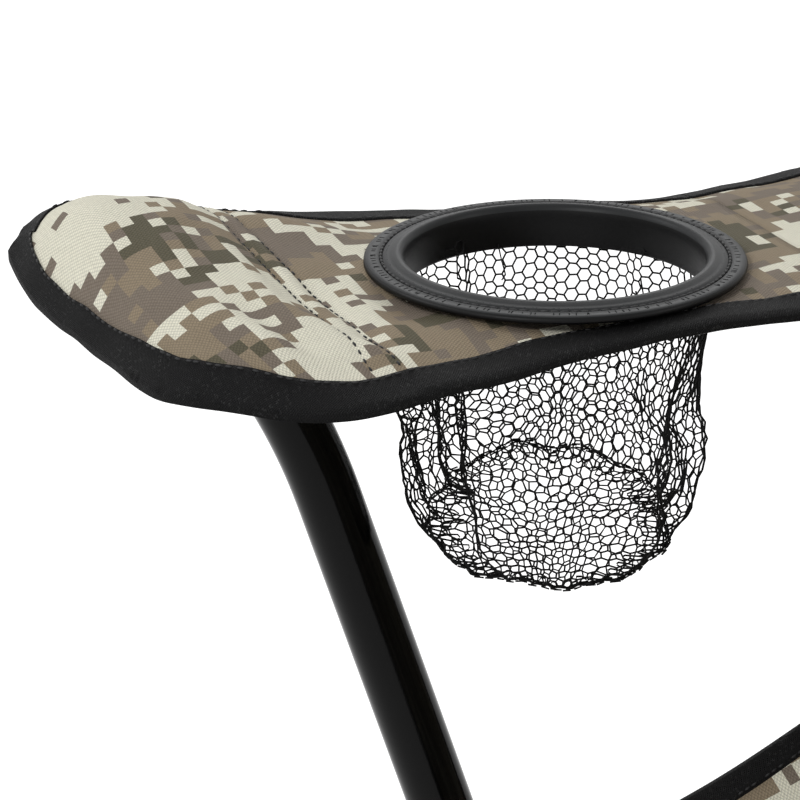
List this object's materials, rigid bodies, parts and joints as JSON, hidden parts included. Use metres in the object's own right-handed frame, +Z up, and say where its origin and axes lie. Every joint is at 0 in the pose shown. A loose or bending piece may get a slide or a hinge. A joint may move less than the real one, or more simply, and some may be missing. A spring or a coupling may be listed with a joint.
{
  "type": "folding fishing chair",
  "caption": "Quad-fold fishing chair with a cloth sling seat, cloth arms on leaning posts, and a plastic ring with a net cup in the right arm.",
  "frame": {"origin": "on the ground at the middle of the chair's box", "axes": "+Z up, the sitter faces -Y, +X is the sitter's left"},
  "size_m": [0.609, 0.6158, 0.8553],
  "materials": {
    "tube_paint": "gloss black powder coat",
    "moulded_black": "moulded, fine grain",
    "rivet_steel": "zinc plated",
    "ring_plastic": "satin charcoal",
    "camo_cloth": "woven oxford with a printed block camouflage",
    "net": "knotless mesh",
    "webbing": "woven polypropylene tape"
  },
  "bodies": {
    "rear_left_corner": {"rear_pole_left": "tube_paint", "pole_cap_left": "moulded_black", "rear_foot_left": "moulded_black", "sling_back": "camo_cloth", "rear_foot_left_cross_rivet": "rivet_steel", "rear_foot_left_side_rivet": "rivet_steel"},
    "rear_outer_tube": {"rear_tube_rising_right": "tube_paint", "rear_crossing_rivet": "rivet_steel"},
    "rear_inner_tube": {"rear_tube_rising_left": "tube_paint"},
    "left_slider": {"rear_slider_left": "moulded_black", "rear_slider_left_cross_rivet": "rivet_steel", "rear_slider_left_side_rivet": "rivet_steel", "sling_strap_left": "webbing", "sling_rear": "camo_cloth"},
    "rear_right_corner": {"rear_pole_right": "tube_paint", "pole_cap_right": "moulded_black", "rear_foot_right": "moulded_black", "rear_foot_right_cross_rivet": "rivet_steel", "rear_foot_right_side_rivet": "rivet_steel"},
    "right_slider": {"rear_slider_right": "moulded_black", "rear_slider_right_cross_rivet": "rivet_steel", "rear_slider_right_side_rivet": "rivet_steel", "sling_strap_right": "webbing"},
    "left_outer_tube": {"left_tube_rising_forward": "tube_paint", "left_crossing_rivet": "rivet_steel"},
    "left_inner_tube": {"left_tube_rising_rearward": "tube_paint"},
    "front_left_hub": {"front_hub_left": "moulded_black", "front_hub_left_cross_rivet": "rivet_steel", "front_hub_left_side_rivet": "rivet_steel", "arm_post_left": "tube_paint", "post_cap_left": "moulded_black", "sling_front": "camo_cloth"},
    "front_left_foot": {"front_foot_left": "moulded_black", "front_foot_left_cross_rivet": "rivet_steel", "front_foot_left_side_rivet": "rivet_steel"},
    "right_outer_tube": {"right_tube_rising_forward": "tube_paint", "right_crossing_rivet": "rivet_steel"},
    "right_inner_tube": {"right_tube_rising_rearward": "tube_paint"},
    "front_right_hub": {"front_hub_right": "moulded_black", "front_hub_right_cross_rivet": "rivet_steel", "front_hub_right_side_rivet": "rivet_steel", "arm_post_right": "tube_paint", "post_cap_right": "moulded_black"},
    "front_right_foot": {"front_foot_right": "moulded_black", "front_foot_right_cross_rivet": "rivet_steel", "front_foot_right_side_rivet": "rivet_steel"},
    "front_outer_tube": {"front_tube_rising_right": "tube_paint", "front_crossing_rivet": "rivet_steel"},
    "front_inner_tube": {"front_tube_rising_left": "tube_paint"},
    "left_arm_front": {"arm_front_left": "camo_cloth"},
    "left_arm_rear": {"arm_rear_left": "camo_cloth"},
    "right_arm_front": {"arm_front_right": "camo_cloth", "cup_ring": "ring_plastic", "net_cup": "net"},
    "right_arm_rear": {"arm_rear_right": "camo_cloth"},
    "sling_gather": {"sling_middle": "camo_cloth"}
  },
  "joints": [
    {"name": "frame_fold", "type": "hinge", "parent": "rear_left_corner", "child": "rear_outer_tube", "pos_m": [0.2, 0.2772, 0.04], "axis": [0, 1, 0], "range_deg": [0, 43], "deforming": ["sling_back"]},
    {"name": "rear_crossing", "type": "hinge", "parent": "rear_outer_tube", "child": "rear_inner_tube", "pos_m": [0, 0.2772, 0.205], "axis": [0, 1, 0], "range_deg": [-86, 0]},
    {"name": "left_slider_pivot", "type": "hinge", "parent": "rear_inner_tube", "child": "left_slider", "pos_m": [0.2, 0.2772, 0.37], "axis": [0, 1, 0], "range_deg": [0, 43], "deforming": ["sling_rear", "sling_strap_left"]},
    {"name": "rear_right_foot_pivot", "type": "hinge", "parent": "rear_inner_tube", "child": "rear_right_corner", "pos_m": [-0.2, 0.2772, 0.04], "axis": [0, 1, 0], "range_deg": [0, 43]},
    {"name": "right_slider_pivot", "type": "hinge", "parent": "rear_outer_tube", "child": "right_slider", "pos_m": [-0.2, 0.2772, 0.37], "axis": [0, 1, 0], "range_deg": [-43, 0], "deforming": ["sling_strap_right"]},
    {"name": "left_rear_foot_pivot", "type": "hinge", "parent": "rear_left_corner", "child": "left_outer_tube", "pos_m": [0.235, 0.2422, 0.04], "axis": [-1, 0, 0], "range_deg": [0, 43]},
    {"name": "left_crossing", "type": "hinge", "parent": "left_outer_tube", "child": "left_inner_tube", "pos_m": [0.235, 0.0422, 0.205], "axis": [-1, 0, 0], "range_deg": [-86, 0]},
    {"name": "left_front_hub_pivot", "type": "hinge", "parent": "left_outer_tube", "child": "front_left_hub", "pos_m": [0.235, -0.1578, 0.37], "axis": [-1, 0, 0], "range_deg": [-43, 0], "deforming": ["sling_front"]},
    {"name": "left_front_foot_pivot", "type": "hinge", "parent": "left_inner_tube", "child": "front_left_foot", "pos_m": [0.235, -0.1578, 0.04], "axis": [-1, 0, 0], "range_deg": [0, 43]},
    {"name": "right_rear_foot_pivot", "type": "hinge", "parent": "rear_right_corner", "child": "right_outer_tube", "pos_m": [-0.235, 0.2422, 0.04], "axis": [-1, 0, 0], "range_deg": [0, 43]},
    {"name": "right_crossing", "type": "hinge", "parent": "right_outer_tube", "child": "right_inner_tube", "pos_m": [-0.235, 0.0422, 0.205], "axis": [-1, 0, 0], "range_deg": [-86, 0]},
    {"name": "right_front_hub_pivot", "type": "hinge", "parent": "right_outer_tube", "child": "front_right_hub", "pos_m": [-0.235, -0.1578, 0.37], "axis": [-1, 0, 0], "range_deg": [-43, 0]},
    {"name": "right_front_foot_pivot", "type": "hinge", "parent": "right_inner_tube", "child": "front_right_foot", "pos_m": [-0.235, -0.1578, 0.04], "axis": [-1, 0, 0], "range_deg": [0, 43]},
    {"name": "front_foot_tube_pivot", "type": "hinge", "parent": "front_left_foot", "child": "front_outer_tube", "pos_m": [0.2, -0.1928, 0.04], "axis": [0, 1, 0], "range_deg": [0, 43]},
    {"name": "front_crossing", "type": "hinge", "parent": "front_outer_tube", "child": "front_inner_tube", "pos_m": [0, -0.1928, 0.205], "axis": [0, 1, 0], "range_deg": [-86, 0]},
    {"name": "left_arm_front_fold", "type": "hinge", "parent": "front_left_hub", "child": "left_arm_front", "pos_m": [0.235, -0.2753, 0.5927], "axis": [1, 0, 0], "range_deg": [0, 86], "deforming": ["arm_front_left"]},
    {"name": "left_arm_rear_fold", "type": "hinge", "parent": "rear_left_corner", "child": "left_arm_rear", "pos_m": [0.235, 0.2772, 0.634], "axis": [-1, 0, 0], "range_deg": [0, 58.05], "deforming": ["arm_rear_left"]},
    {"name": "right_arm_front_fold", "type": "hinge", "parent": "front_right_hub", "child": "right_arm_front", "pos_m": [-0.235, -0.2753, 0.5927], "axis": [1, 0, 0], "range_deg": [0, 86], "deforming": ["arm_front_right", "net_cup"]},
    {"name": "right_arm_rear_fold", "type": "hinge", "parent": "rear_right_corner", "child": "right_arm_rear", "pos_m": [-0.235, 0.2772, 0.634], "axis": [-1, 0, 0], "range_deg": [0, 58.05], "deforming": ["arm_rear_right"]},
    {"name": "sling_gather_slide", "type": "slide", "parent": "rear_left_corner", "child": "sling_gather", "axis": [0, 0.6701, 0.7422], "range_m": [0, 0.2486], "deforming": ["sling_middle"]}
  ],
  "couplings": [
    {"joint": "rear_crossing", "follows": "frame_fold", "ratio": -2},
    {"joint": "left_slider_pivot", "follows": "frame_fold", "ratio": 1},
    {"joint": "rear_right_foot_pivot", "follows": "frame_fold", "ratio": 1},
    {"joint": "right_slider_pivot", "follows": "frame_fold", "ratio": -1},
    {"joint": "left_rear_foot_pivot", "follows": "frame_fold", "ratio": 1},
    {"joint": "left_crossing", "follows": "frame_fold", "ratio": -2},
    {"joint": "left_front_hub_pivot", "follows": "frame_fold", "ratio": -1},
    {"joint": "left_front_foot_pivot", "follows": "frame_fold", "ratio": 1},
    {"joint": "right_rear_foot_pivot", "follows": "frame_fold", "ratio": 1},
    {"joint": "right_crossing", "follows": "frame_fold", "ratio": -2},
    {"joint": "right_front_hub_pivot", "follows": "frame_fold", "ratio": -1},
    {"joint": "right_front_foot_pivot", "follows": "frame_fold", "ratio": 1},
    {"joint": "front_foot_tube_pivot", "follows": "frame_fold", "ratio": 1},
    {"joint": "front_crossing", "follows": "frame_fold", "ratio": -2},
    {"joint": "left_arm_front_fold", "follows": "frame_fold", "ratio": 2},
    {"joint": "left_arm_rear_fold", "follows": "frame_fold", "ratio": 1.35},
    {"joint": "right_arm_front_fold", "follows": "frame_fold", "ratio": 2},
    {"joint": "right_arm_rear_fold", "follows": "frame_fold", "ratio": 1.35},
    {"joint": "sling_gather_slide", "follows": "frame_fold", "m_per_rad": 0.33058}
  ]
}
